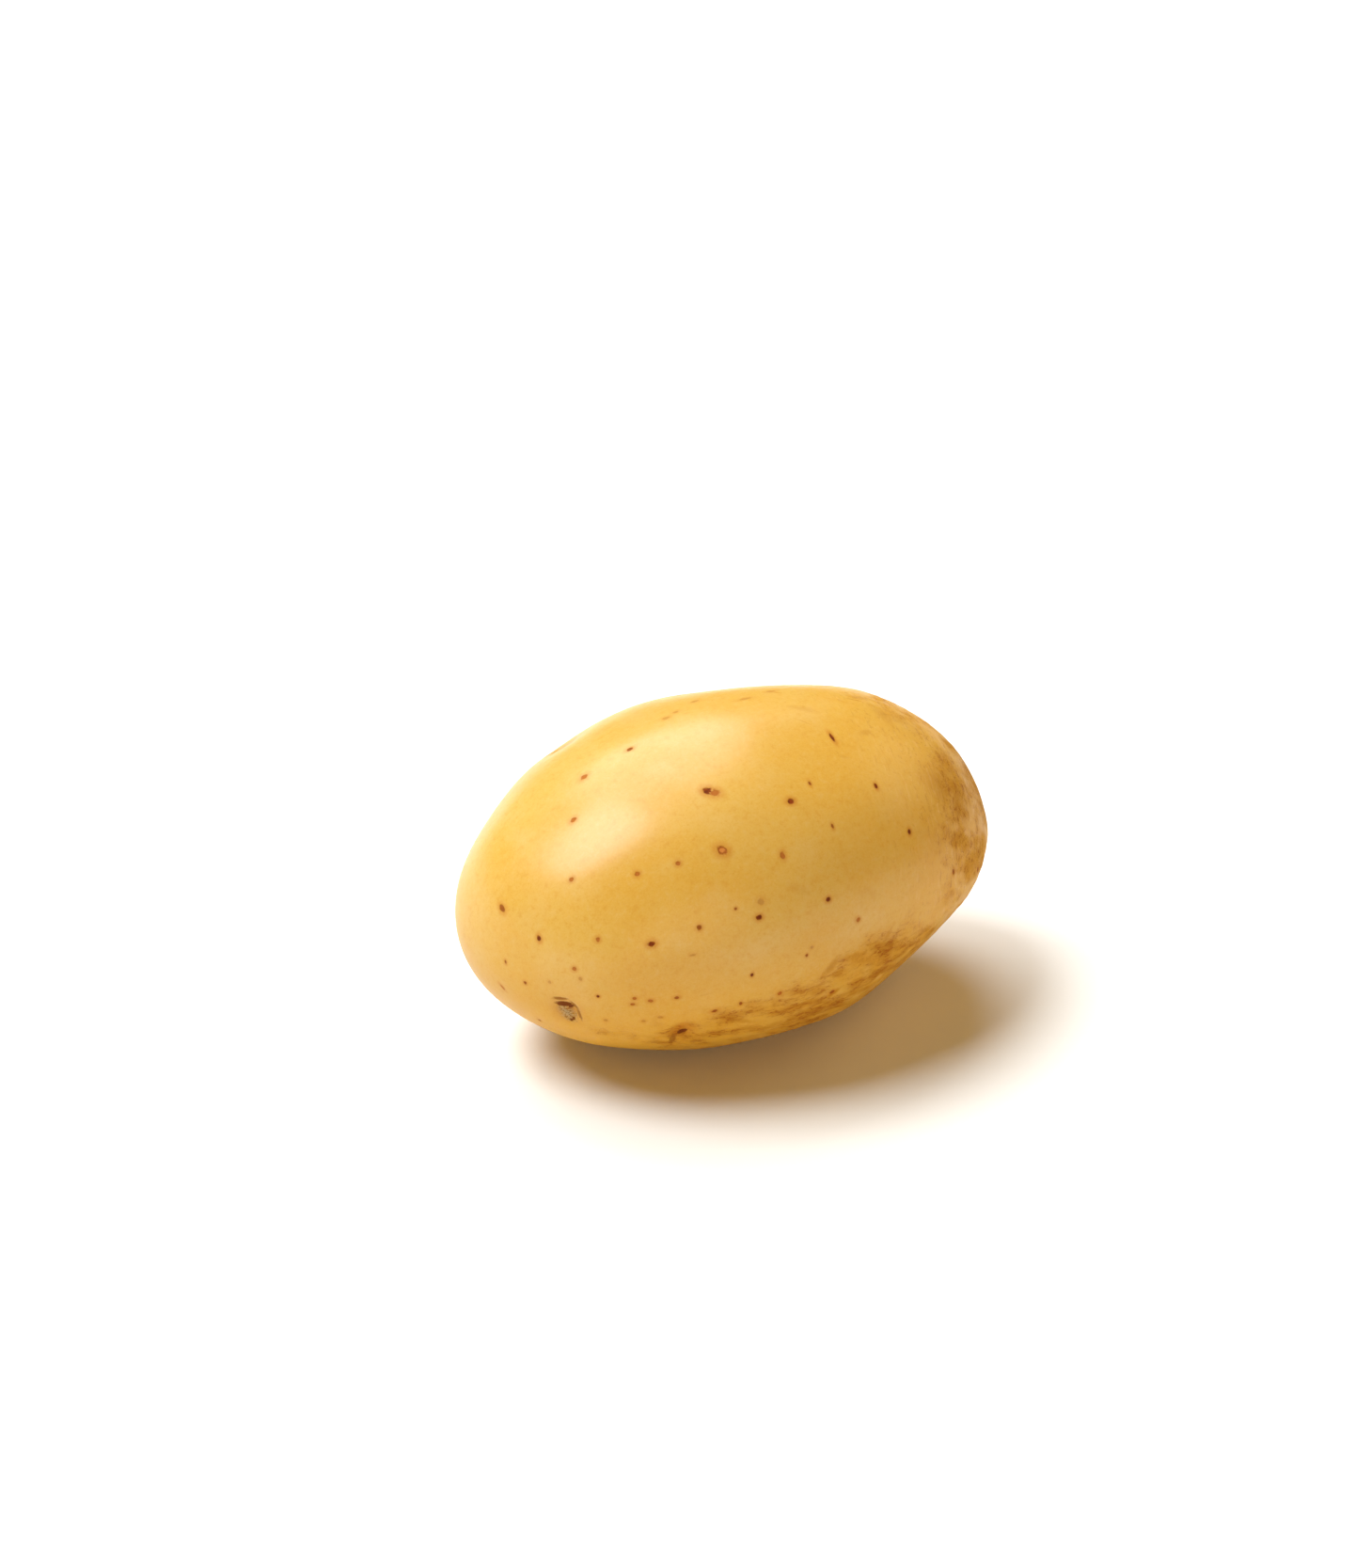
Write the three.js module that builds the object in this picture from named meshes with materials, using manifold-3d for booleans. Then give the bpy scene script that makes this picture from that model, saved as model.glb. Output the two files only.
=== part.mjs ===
// A whole potato: one solid tuber, lying on the small flat of its belly.
// Millimetres, +Z up. X runs along the tuber, from the full stem end at -X to the rose end at +X,
// and -Y is its front. The origin is on the surface it rests on, midway along its length.

import * as THREE from 'three';
import { mergeVertices } from 'three/addons/utils/BufferGeometryUtils.js';
import Module from 'manifold-3d';

// Overall sizes of the plain tuber, before its sides are pressed flatter.
const LENGTH = 95;
const WIDTH = 65;
const HEIGHT = 58;

// How full each end is: 2 is an ellipse, more is blunter and less is more pointed.
const STEM_END_FULLNESS = 1.8;
const ROSE_END_FULLNESS = 2.35;

// Departures from an even oval, in millimetres at the very ends.
const WIDTH_TAPER = 4.25; // half the width gained at the stem end and lost at the rose end
const ENDS_DEEPER = 1.6; // half the depth gained at both ends
const MIDDLE_SHALLOWER = 0.8; // half the depth lost in the middle
const SIDE_BOW = 0.5; // both ends curve towards +Y
const END_DROOP = 3.25; // both ends curve downwards
const ROSE_END_LIFT = 0.3; // the rose end stands higher and the stem end lower

// Places where the growing tuber was pressed flatter. Each faces `turn` degrees round from +X and
// `tilt` degrees above level, `depth` is how far the surface is pushed in, and over `blend` the flat
// runs out into the round of the tuber.
const FLATTER_SIDES = [
  { turn: -58, tilt: -37, depth: 3.1, blend: 2.7 }, // front flank, under the rose end
  { turn: -37, tilt: -18, depth: 0.9, blend: 1.6 }, // front shoulder of the rose end
  { turn: 66, tilt: 60, depth: 0.75, blend: 1.7 }, // back of the top
  { turn: 112, tilt: -18, depth: 1.6, blend: 4 }, // back flank
  { turn: 38, tilt: 12, depth: 1.2, blend: 3 }, // back shoulder of the rose end
];
const BELLY = { turn: 0, tilt: -90, depth: 1.3, blend: 0.7 };

// The belly's flat is pressed this much too deep and then planed level with the surface it rests on.
const PLANED_OFF = 0.02;

// Eyes: `along` runs from -1 at the stem end to 1 at the rose end, `around` is in degrees from the
// top towards the front, `width` is the hollow's own and `depth` its deepest.
const EYES = [
  { along: -0.83, around: 113, width: 8, depth: 0.7 },
  { along: -0.48, around: 118, width: 6, depth: 0.5 },
  { along: 0.1, around: -75, width: 9, depth: 0.9 },
  { along: -0.45, around: -40, width: 9, depth: 0.9 },
  { along: -0.3, around: -120, width: 9, depth: 0.9 },
  { along: 0.45, around: -135, width: 8.5, depth: 0.9 },
  { along: 0.62, around: -62, width: 8.5, depth: 1 },
  { along: 0.86, around: -105, width: 7.5, depth: 0.9 },
  { along: 0.93, around: -30, width: 6.5, depth: 0.7 },
];

const SPHERE_DETAIL = 17; // splits of each edge of the icosahedron that becomes the skin
const SKIN_COLOUR = 0xe2b663;

const { clamp, degToRad } = THREE.MathUtils;

/** The outward direction that faces `turn` degrees round from +X and `tilt` above level. */
function facing({ turn, tilt }) {
  const level = Math.cos(degToRad(tilt));
  return new THREE.Vector3(
    level * Math.cos(degToRad(turn)),
    level * Math.sin(degToRad(turn)),
    Math.sin(degToRad(tilt)),
  );
}

/** The point of the unit sphere that becomes the eye's place on the skin. */
function eyeDirection({ along, around }) {
  const level = Math.sqrt(1 - along * along);
  const turn = degToRad(around);
  return new THREE.Vector3(along, -level * Math.sin(turn), level * Math.cos(turn));
}

/** Moves a point of the unit sphere to the plain tuber's skin. */
function ovalPoint(p) {
  const s = clamp(p.x, -1, 1);
  const fullness = s < 0 ? STEM_END_FULLNESS : ROSE_END_FULLNESS;
  const round = Math.max(1 - s * s, 1e-9);
  const ring = Math.sqrt(Math.max(1 - Math.abs(s) ** fullness, 1e-9) / round);
  const halfWidth = WIDTH / 2 - WIDTH_TAPER * s;
  const halfDepth = HEIGHT / 2 - MIDDLE_SHALLOWER + (MIDDLE_SHALLOWER + ENDS_DEEPER) * s * s;
  return new THREE.Vector3(
    (LENGTH / 2) * s,
    halfWidth * ring * p.y + SIDE_BOW * s * s,
    halfDepth * ring * p.z - END_DROOP * s * s + ROSE_END_LIFT * s,
  );
}

/** Presses the points that stand furthest towards a side back to a flat that blends into the round. */
function pressSide(points, side) {
  const out = facing(side);
  const reach = Math.max(...points.map((p) => p.dot(out)));
  for (const p of points) {
    const inside = reach - side.depth - p.dot(out);
    if (inside >= side.blend) continue;
    const kept = inside > -side.blend ? (inside + side.blend) ** 2 / (4 * side.blend) : 0;
    p.addScaledVector(out, inside - kept);
  }
}

/** Sinks a smooth hollow into the skin at an eye. */
function sinkEye(points, normals, directions, eye) {
  const wanted = eyeDirection(eye);
  let centre = 0;
  directions.forEach((d, i) => {
    if (d.dot(wanted) > directions[centre].dot(wanted)) centre = i;
  });
  const middle = points[centre].clone();
  const inwards = normals[centre].clone().negate();
  for (const p of points) {
    const away = p.distanceTo(middle) / (eye.width / 2);
    p.addScaledVector(inwards, eye.depth * Math.exp(-2 * away * away));
  }
}

/** An attribute's vectors as a list. */
function vectorsOf(attribute) {
  return Array.from({ length: attribute.count }, (_, i) =>
    new THREE.Vector3().fromBufferAttribute(attribute, i));
}

/** A closed sphere of even triangles whose shared corners are merged. */
function closedSphere() {
  const sphere = new THREE.IcosahedronGeometry(1, SPHERE_DETAIL);
  sphere.deleteAttribute('normal');
  sphere.deleteAttribute('uv');
  return mergeVertices(sphere);
}

/** The whole tuber's skin, its belly pressed flat a hair below the surface it rests on. */
function tuberGeometry() {
  const skin = closedSphere();
  const directions = vectorsOf(skin.attributes.position).map((p) => p.normalize());
  const points = directions.map(ovalPoint);
  FLATTER_SIDES.forEach((side) => pressSide(points, side));
  pressSide(points, BELLY);

  const position = skin.attributes.position;
  const lowest = Math.min(...points.map((p) => p.z));
  points.forEach((p) => { p.z -= lowest + PLANED_OFF; });
  points.forEach((p, i) => position.setXYZ(i, p.x, p.y, p.z));
  skin.computeVertexNormals();

  const normals = vectorsOf(skin.attributes.normal);
  EYES.forEach((eye) => sinkEye(points, normals, directions, eye));
  points.forEach((p, i) => position.setXYZ(i, p.x, p.y, p.z));
  skin.deleteAttribute('normal');
  return skin;
}

const wasm = await Module();
wasm.setup();

/** A closed mesh whose shared corners are merged, as a solid. */
function solidOf(geometry) {
  return new wasm.Manifold(new wasm.Mesh({
    numProp: 3,
    vertProperties: new Float32Array(geometry.attributes.position.array),
    triVerts: new Uint32Array(geometry.index.array),
  }));
}

/** A solid as a mesh's geometry. */
function geometryOf(solid) {
  const { vertProperties, triVerts } = solid.getMesh();
  const geometry = new THREE.BufferGeometry();
  geometry.setAttribute('position', new THREE.BufferAttribute(vertProperties, 3));
  geometry.setIndex(new THREE.BufferAttribute(triVerts, 1));
  geometry.computeVertexNormals();
  return geometry;
}

/** Everything below the surface that the tuber rests on, as a block wider than the tuber. */
function groundBlock() {
  const thick = HEIGHT / 2;
  const block = new THREE.BoxGeometry(2 * LENGTH, 2 * WIDTH, thick);
  block.translate(0, 0, -thick / 2);
  block.deleteAttribute('normal');
  block.deleteAttribute('uv');
  return mergeVertices(block);
}

const potato = new THREE.Mesh(
  geometryOf(solidOf(tuberGeometry()).subtract(solidOf(groundBlock()))),
  new THREE.MeshStandardMaterial({ color: SKIN_COLOUR, roughness: 0.5, metalness: 0 }),
);
potato.name = 'potato';

const tuber = new THREE.Group();
tuber.add(potato);

export default tuber;
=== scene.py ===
"""A whole yellow potato lying on its belly in a plain bright studio.

Everything is in metres, in the part's own frame: +Z up, X along the tuber from the stem end at -X
to the rose end at +X, and -Y its front. A place on the skin is a direction from inside the tuber:
`along` (-1 at the stem end to 1 at the rose end) and `around` (degrees from the top to the front).
"""

import logging
import math
from dataclasses import dataclass, field
from enum import Enum
from typing import Any, Sequence

import bpy
import numpy as np
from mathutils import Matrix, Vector


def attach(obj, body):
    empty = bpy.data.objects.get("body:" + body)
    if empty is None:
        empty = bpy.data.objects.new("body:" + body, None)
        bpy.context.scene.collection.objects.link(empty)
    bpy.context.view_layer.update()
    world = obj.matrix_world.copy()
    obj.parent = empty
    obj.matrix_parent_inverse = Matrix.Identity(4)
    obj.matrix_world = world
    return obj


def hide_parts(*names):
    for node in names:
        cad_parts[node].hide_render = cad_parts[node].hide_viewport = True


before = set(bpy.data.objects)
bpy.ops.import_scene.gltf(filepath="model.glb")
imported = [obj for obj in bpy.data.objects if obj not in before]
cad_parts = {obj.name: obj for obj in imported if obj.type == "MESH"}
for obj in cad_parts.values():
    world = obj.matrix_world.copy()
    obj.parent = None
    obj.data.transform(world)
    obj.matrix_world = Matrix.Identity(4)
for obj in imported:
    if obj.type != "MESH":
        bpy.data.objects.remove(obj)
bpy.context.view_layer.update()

log = logging.getLogger("potato")

MM = 0.001
TINY = 1e-12  # keeps a root at the very ends above zero

# Distances from the middle of a mark, in its half sizes.
MARK_REACH = 4.0  # how far its paint can reach
PORE_REACH = 3.0  # how far a pore's relief reaches
FAR_OFF = 9.0  # the place of skin that no mark is near

# Rings and bumps round the middle of a mark: how far out, and how wide, in its half sizes.
BROW_RING = (0.72, 0.14)
GROOVE_RING = (0.5, 0.1)
BUD_BUMP = (0.0, 0.24)
PORE_RIM = (1.4, 0.45)
PORE_PIT = (0.0, 0.8)

TAKEN = 2.0  # marks a place where no pore may be scattered
ROOT = "root"
CAD_NODE = "potato"
Triple = tuple[float, float, float]
Colour = Triple


# --------------------------------------------------------------------------- places and small sums


def smooth_step(values: np.ndarray, low: float, high: float) -> np.ndarray:
    """Rises smoothly from 0 at `low` to 1 at `high`, as 3t^2 - 2t^3 of the share t between them.

    Args:
        values: Any numbers.
        low: The value that gives 0.
        high: The value that gives 1.

    Returns:
        One number between 0 and 1 for each value.
    """
    share = np.clip((values - low) / (high - low), 0.0, 1.0)
    return share * share * (3.0 - 2.0 * share)


def directions_of(places: np.ndarray) -> np.ndarray:
    """Unit directions of places: x is `along`, and y and z turn by `around` from top to front.

    Args:
        places: Rows of (along, around in degrees).

    Returns:
        One unit vector for each place.
    """
    along, turn = places[:, 0], np.radians(places[:, 1])
    level = np.sqrt(1.0 - along**2)
    return np.stack([along, -level * np.sin(turn), level * np.cos(turn)], axis=1)


def facing(turn: float, tilt: float) -> np.ndarray:
    """The unit vector that points a way.

    Args:
        turn: Degrees round from +X.
        tilt: Degrees above level.

    Returns:
        The vector.
    """
    turn, tilt = math.radians(turn), math.radians(tilt)
    level = math.cos(tilt)
    return np.array([level * math.cos(turn), level * math.sin(turn), math.sin(tilt)])


def bell(values: np.ndarray, middle: float, width: float) -> np.ndarray:
    """A bell curve: exp(-d^2), where d is each value's distance from `middle` in widths."""
    return np.exp(-(((values - middle) / width) ** 2))


def around_of(directions: np.ndarray) -> np.ndarray:
    """Degrees that each direction has turned from the top over the front."""
    return np.degrees(np.arctan2(-directions[:, 1], directions[:, 2]))


# --------------------------------------------------------------------------- the tuber's plain form


@dataclass(frozen=True)
class PressedSide:
    """A place where the growing tuber was pressed flatter.

    Args:
        turn: Degrees that it faces round from +X.
        tilt: Degrees that it faces above level.
        depth: How far the surface is pushed in.
        blend: Over how much depth the flat runs out into the round of the tuber.
    """

    turn: float
    tilt: float
    depth: float
    blend: float

    def press(self, points: np.ndarray) -> np.ndarray:
        """Pushes the points that stand furthest out back to a plane, with a parabola at its edge.

        Args:
            points: Points of the whole surface, one in each row.

        Returns:
            The pressed points.
        """
        out = facing(self.turn, self.tilt)
        heights = points @ out
        inside = heights.max() - self.depth - heights
        parabola = (inside + self.blend) ** 2 / (4.0 * self.blend)
        kept = np.where(inside > self.blend, inside, np.where(inside < -self.blend, 0.0, parabola))
        return points - np.outer(kept - inside, out)


@dataclass(frozen=True)
class TuberForm:
    """The plain tuber, the same as the CAD part's: an oval with unlike ends and some flatter sides.

    Args:
        length: Size along X.
        width: Size along Y before the sides are pressed.
        height: Size along Z before the belly is pressed.
        stem_fullness: How blunt the stem end is; 2 is an ellipse.
        rose_fullness: How blunt the rose end is.
        width_taper: Half the width gained at the stem end and lost at the rose end.
        ends_deeper: Half the depth gained at both ends.
        middle_shallower: Half the depth lost in the middle.
        side_bow: How far both ends curve towards +Y.
        end_droop: How far both ends curve downwards.
        rose_lift: How much higher the rose end stands.
        flatter_sides: The places that were pressed flatter.
        belly: The underside that the tuber lies on.
    """

    length: float = 95 * MM
    width: float = 65 * MM
    height: float = 58 * MM
    stem_fullness: float = 1.8
    rose_fullness: float = 2.35
    width_taper: float = 4.25 * MM
    ends_deeper: float = 1.6 * MM
    middle_shallower: float = 0.8 * MM
    side_bow: float = 0.5 * MM
    end_droop: float = 3.25 * MM
    rose_lift: float = 0.3 * MM
    flatter_sides: tuple[PressedSide, ...] = (
        PressedSide(-58, -37, 3.1 * MM, 2.7 * MM),
        PressedSide(-37, -18, 0.9 * MM, 1.6 * MM),
        PressedSide(66, 60, 0.75 * MM, 1.7 * MM),
        PressedSide(112, -18, 1.6 * MM, 4 * MM),
        PressedSide(38, 12, 1.2 * MM, 3 * MM),
    )
    belly: PressedSide = PressedSide(0, -90, 1.3 * MM, 0.7 * MM)

    def surface(self, directions: np.ndarray) -> np.ndarray:
        """Moves unit directions to the tuber's skin.

        With s the share along the tuber, a slice's radius is the square root of 1 - |s|^fullness.
        It is widened by the half width and half depth there, and its middle is shifted by the bow,
        the droop and the lift. The sides are then pressed in turn, the belly last, and the whole is
        set down on z = 0.

        Args:
            directions: Unit vectors over the whole sphere, one in each row.

        Returns:
            The points of the skin.
        """
        s = directions[:, 0]
        fullness = np.where(s < 0.0, self.stem_fullness, self.rose_fullness)
        slice_radius = np.sqrt(np.maximum(1.0 - np.abs(s) ** fullness, TINY))
        ring = slice_radius / np.sqrt(np.maximum(1.0 - s * s, TINY))
        half_width = self.width / 2.0 - self.width_taper * s
        half_depth = self.height / 2.0 - self.middle_shallower
        half_depth = half_depth + (self.middle_shallower + self.ends_deeper) * s * s
        points = np.stack(
            [
                self.length / 2.0 * s,
                half_width * ring * directions[:, 1] + self.side_bow * s * s,
                half_depth * ring * directions[:, 2] - self.end_droop * s * s + self.rose_lift * s,
            ],
            axis=1,
        )
        for side in (*self.flatter_sides, self.belly):
            points = side.press(points)
        points[:, 2] -= points[:, 2].min()
        return points


@dataclass(frozen=True)
class SkinGrid:
    """The net of quads that carries the skin: the six grids of a box, blown up to a sphere.

    Args:
        along: Quads along X.
        across: Quads along Y.
        upright: Quads along Z.
    """

    along: int = 160
    across: int = 112
    upright: int = 112

    def build(self) -> tuple[np.ndarray, np.ndarray]:
        """Numbers the box's surface points once each, so that the net closes without doubles.

        A point of the box at share c of a side, from -1 to 1, is moved to tan(c * 45 degrees),
        which evens out the quads, and then to unit length.

        Returns:
            The unit directions, and rows of four corners that go round each quad from outside.
        """
        counts = np.array([self.along, self.across, self.upright])
        steps = np.array([(counts[1] + 1) * (counts[2] + 1), counts[2] + 1, 1])
        quads = []
        for axis in range(3):
            first, second = (axis + 1) % 3, (axis + 2) % 3
            rows, columns = np.meshgrid(
                np.arange(counts[first] + 1), np.arange(counts[second] + 1), indexing="ij"
            )
            for side in (0, counts[axis]):
                number = side * steps[axis] + rows * steps[first] + columns * steps[second]
                quad = np.stack(
                    [number[:-1, :-1], number[1:, :-1], number[1:, 1:], number[:-1, 1:]], axis=-1
                ).reshape(-1, 4)
                quads.append(quad if side else quad[:, ::-1])
        numbers, corners = np.unique(np.concatenate(quads), return_inverse=True)
        place = np.stack([numbers // steps[0], numbers // steps[1] % (counts[1] + 1)], axis=1)
        place = np.column_stack([place, numbers % (counts[2] + 1)])
        box = np.tan((2.0 * place / counts - 1.0) * math.pi / 4.0)
        return box / np.linalg.norm(box, axis=1)[:, None], corners.reshape(-1, 4)


def corner_normals(points: np.ndarray, quads: np.ndarray) -> np.ndarray:
    """Unit normals at the points: the sum of the crossed diagonals of the quads around each.

    Args:
        points: The net's points.
        quads: Rows of four corners.

    Returns:
        One outward unit vector for each point.
    """
    corner = points[quads]
    face = np.cross(corner[:, 2] - corner[:, 0], corner[:, 3] - corner[:, 1])
    total = np.zeros_like(points)
    for k in range(4):
        for axis in range(3):
            total[:, axis] += np.bincount(quads[:, k], face[:, axis], len(points))
    return total / np.linalg.norm(total, axis=1)[:, None]


# --------------------------------------------------------------------------- marks on the skin


@dataclass(frozen=True)
class PoreTint:
    """How strongly a breathing pore shows.

    Args:
        strength: 0 can't be seen and 1 is full colour.
        pale_centre: How much of the middle has healed pale.
        redness: 0 is dark brown and 1 is rust red.
    """

    strength: float
    pale_centre: float
    redness: float


class PoreLook(Enum):
    """The kinds of pore that a washed tuber has."""

    DARK = PoreTint(1.0, 0.0, 0.15)
    BROWN = PoreTint(0.8, 0.0, 0.4)
    RUSTY = PoreTint(0.72, 0.15, 0.9)
    RINGED = PoreTint(0.85, 0.9, 0.65)
    FAINT = PoreTint(0.34, 0.0, 0.45)


@dataclass(frozen=True)
class Mark:
    """A long or round mark on the skin.

    Args:
        along: Place of its middle along the tuber.
        around: Place of its middle around it.
        length_mm: Its longer size, in millimetres.
        width_mm: Its shorter size, in millimetres.
        turn: Degrees that its longer size is turned from along the tuber towards around it.
    """

    along: float
    around: float
    length_mm: float
    width_mm: float
    turn: float

    def half_length(self) -> float:
        """Half its longer size, in metres."""
        return self.length_mm / 2.0 * MM

    def half_width(self) -> float:
        """Half its shorter size, in metres."""
        return self.width_mm / 2.0 * MM


@dataclass(frozen=True)
class Pore(Mark):
    """One breathing pore.

    Args:
        kind: Its kind.
    """

    kind: PoreLook

    def look(self) -> Triple:
        """Its strength, pale centre and redness."""
        tint = self.kind.value
        return (tint.strength, tint.pale_centre, tint.redness)


DARK, BROWN, RUSTY, RINGED, FAINT = PoreLook
FRONT_PORES: tuple[Pore, ...] = (
    # the top, from the stem end to the rose end
    Pore(-0.94, 29, 1.5, 1.0, 90, BROWN),
    Pore(-0.76, 38, 0.85, 0.7, 0, RUSTY),
    Pore(-0.675, 14, 1.1, 0.85, 0, RUSTY),
    Pore(-0.565, -1, 1.4, 1.1, 0, RUSTY),
    Pore(-0.587, 46.5, 0.85, 0.75, 0, RUSTY),
    Pore(-0.46, 48, 0.85, 0.75, 0, RUSTY),
    Pore(-0.395, 0, 1.2, 0.8, 0, BROWN),
    Pore(-0.31, 49, 1.7, 1.4, 40, RINGED),
    Pore(-0.27, 28.8, 1.5, 1.3, 30, DARK),
    Pore(-0.25, 30.4, 1.6, 1.4, 30, RUSTY),
    Pore(-0.2, -8, 1.5, 1.1, 0, FAINT),
    Pore(-0.15, -10, 1.2, 0.9, 0, FAINT),
    Pore(-0.06, -13, 1.4, 0.9, 0, FAINT),
    Pore(-0.12, 56, 1.2, 0.8, 90, RUSTY),
    Pore(-0.02, 41, 1.15, 1.0, 0, DARK),
    Pore(0.09, -5, 2.2, 0.8, 0, FAINT),
    Pore(0.2, -7, 1.8, 0.7, 0, FAINT),
    Pore(0.08, 37, 0.9, 0.5, 90, BROWN),
    Pore(0.09, 52, 0.9, 0.5, 90, BROWN),
    Pore(0.26, 22.5, 2.0, 0.6, 90, DARK),
    Pore(0.325, 43, 1.0, 0.6, 90, DARK),
    Pore(0.4, 61, 0.95, 0.65, 100, DARK),
    # the front, from the stem end to the rose end
    Pore(-0.967, 85, 0.7, 0.5, 90, BROWN),
    Pore(-0.965, 130, 1.2, 0.5, 0, RUSTY),
    Pore(-0.93, 100.5, 0.65, 0.6, 0, BROWN),
    Pore(-0.89, 62.5, 1.0, 0.75, 90, DARK),
    Pore(-0.885, 92.5, 0.6, 0.6, 0, FAINT),
    Pore(-0.87, 137, 0.6, 0.6, 0, BROWN),
    Pore(-0.82, 81.5, 0.8, 0.7, 0, RUSTY),
    Pore(-0.81, 87.5, 0.7, 0.6, 90, FAINT),
    Pore(-0.76, 97.5, 0.55, 0.5, 0, DARK),
    Pore(-0.745, 67.5, 0.75, 0.75, 0, RUSTY),
    Pore(-0.73, 113, 0.7, 0.6, 0, FAINT),
    Pore(-0.665, 101.5, 0.8, 0.6, 0, RUSTY),
    Pore(-0.66, 98, 0.7, 0.6, 0, RUSTY),
    Pore(-0.625, 112, 0.7, 0.6, 0, FAINT),
    Pore(-0.615, 99.5, 0.85, 0.7, 0, RUSTY),
    Pore(-0.603, 74, 1.2, 0.8, 0, DARK),
    Pore(-0.575, 109.5, 0.9, 0.6, 0, FAINT),
    Pore(-0.535, 99, 0.85, 0.6, 0, BROWN),
    Pore(-0.48, 81, 1.0, 0.35, 0, FAINT),
    Pore(-0.45, 71.5, 0.85, 0.8, 0, BROWN),
    Pore(-0.4, 107.5, 1.0, 0.65, -30, BROWN),
    Pore(-0.32, 68, 0.5, 0.45, 0, BROWN),
    Pore(-0.315, 105, 0.8, 0.55, 90, BROWN),
    Pore(-0.29, 93.5, 0.65, 0.5, 90, DARK),
    Pore(-0.25, 73.5, 1.0, 0.8, 0, DARK),
    Pore(-0.24, 68.5, 1.2, 1.1, 0, FAINT),
    Pore(-0.185, 104, 0.8, 0.7, 90, RUSTY),
    Pore(-0.09, 91, 0.6, 0.5, 90, BROWN),
    Pore(-0.07, 88.5, 0.6, 0.5, 0, FAINT),
    Pore(0.005, 73.8, 0.85, 0.8, 0, DARK),
    Pore(0.04, 110, 1.0, 0.8, 0, BROWN),
    Pore(0.13, 84, 0.8, 0.8, 0, RUSTY),
    Pore(0.6, 82, 1.0, 0.7, 90, BROWN),
    Pore(0.77, 90, 1.0, 0.6, 90, BROWN),
)


class SmearTint(Enum):
    """What a smear is made of: how dark it is, and how much of it is grey cork."""

    SCUFF = (0.0, 0.0)
    LINE = (0.6, 0.0)
    CRACK = (1.0, 0.0)
    CORK = (0.0, 1.0)


@dataclass(frozen=True)
class Smear(Mark):
    """A scuff, a crack or a corky lump on the skin.

    Args:
        strength: 0 can't be seen and 1 is full colour.
        tint: What it is made of.
    """

    strength: float
    tint: SmearTint = SmearTint.SCUFF

    def look(self) -> Triple:
        """Its strength, darkness and greyness."""
        return (self.strength, *self.tint.value)


LINE, CRACK, CORK = SmearTint.LINE, SmearTint.CRACK, SmearTint.CORK
SMEARS: tuple[Smear, ...] = (
    # the scar: two lines over a corky lump, two beside it and one under it
    Smear(-0.831, 116.0, 3.9, 3.1, 24, 1.0, CORK),
    Smear(-0.855, 104.2, 2.8, 0.8, -24, 0.9, LINE),
    Smear(-0.841, 109.6, 3.5, 1.15, -18, 1.0, CRACK),
    Smear(-0.822, 107.4, 2.4, 0.75, 41, 0.8, LINE),
    Smear(-0.801, 113.6, 2.6, 0.65, 57, 0.8, LINE),
    Smear(-0.81, 119.6, 1.6, 0.8, -70, 0.95, CRACK),
    # the dimple and the crease under it
    Smear(-0.481, 120.6, 1.6, 0.95, -40, 1.0, CRACK),
    Smear(-0.499, 126.0, 3.8, 1.0, 80, 0.7, LINE),
    # brown scuffs along the lower front, from the stem end to the rose end: partly real scuffs,
    # partly painted shade of the lower flank
    Smear(-0.437, 98.5, 2.3, 0.4, -15, 0.2),
    Smear(-0.3, 114.8, 6.8, 1.4, 20, 0.6),
    Smear(-0.255, 120.8, 3.4, 1.6, 32, 0.5),
    Smear(-0.15, 121.5, 5.4, 2.4, -20, 0.5),
    Smear(-0.084, 111.5, 4.6, 1.1, -13, 0.75),
    Smear(-0.008, 113.0, 6.6, 1.3, 29, 0.65),
    Smear(0.049, 110.6, 3.0, 1.3, -29, 0.9),
    Smear(0.008, 98.6, 4.4, 1.9, -44, 0.75),
    Smear(0.045, 102.3, 3.4, 1.6, 6, 0.6),
    Smear(0.125, 98.0, 5.0, 1.7, 15, 0.5),
    Smear(0.218, 97.0, 7.6, 1.9, 16, 0.42),
    Smear(0.263, 94.0, 4.2, 0.9, -50, 0.45),
    Smear(0.19, 117.0, 9.0, 2.4, 26, 0.6),
    Smear(0.26, 111.0, 8.0, 1.9, 20, 0.75),
    Smear(0.36, 116.0, 6.0, 1.8, 8, 0.7),
    # faint marks over the middle
    Smear(-0.097, 67.4, 4.7, 1.6, 32, 0.14),
    Smear(0.191, 76.3, 3.7, 1.6, 45, 0.14),
    Smear(0.264, 30.4, 2.2, 0.9, 26, 0.25),
    # the top and the shoulder of the rose end
    Smear(0.211, -5.3, 2.6, 0.5, 35, 0.55),
    Smear(0.227, 7.4, 6.0, 1.9, 32, 0.32),
    Smear(0.2, 14.0, 2.6, 0.35, 50, 0.45),
    Smear(0.474, 4.4, 3.4, 0.5, 18, 0.6),
    Smear(0.528, 12.8, 6.4, 3.0, 80, 0.35),
    Smear(0.399, 22.4, 3.0, 1.6, -9, 0.4),
    Smear(0.69, 32.0, 1.4, 0.8, 60, 0.6),
    Smear(0.61, 47.0, 9.0, 7.0, 30, 0.4),
    Smear(0.71, 58.0, 8.0, 5.0, 80, 0.35),
)


@dataclass(frozen=True)
class EyeShape:
    """What stands in an eye's hollow.

    Args:
        bud_height: How high its bud or scar stands.
        brow: How strong its brow and the groove under it are, from 0 to 1.
        darkness: How dark its lines are, from 0 to 1.
    """

    bud_height: float
    brow: float
    darkness: float


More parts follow.
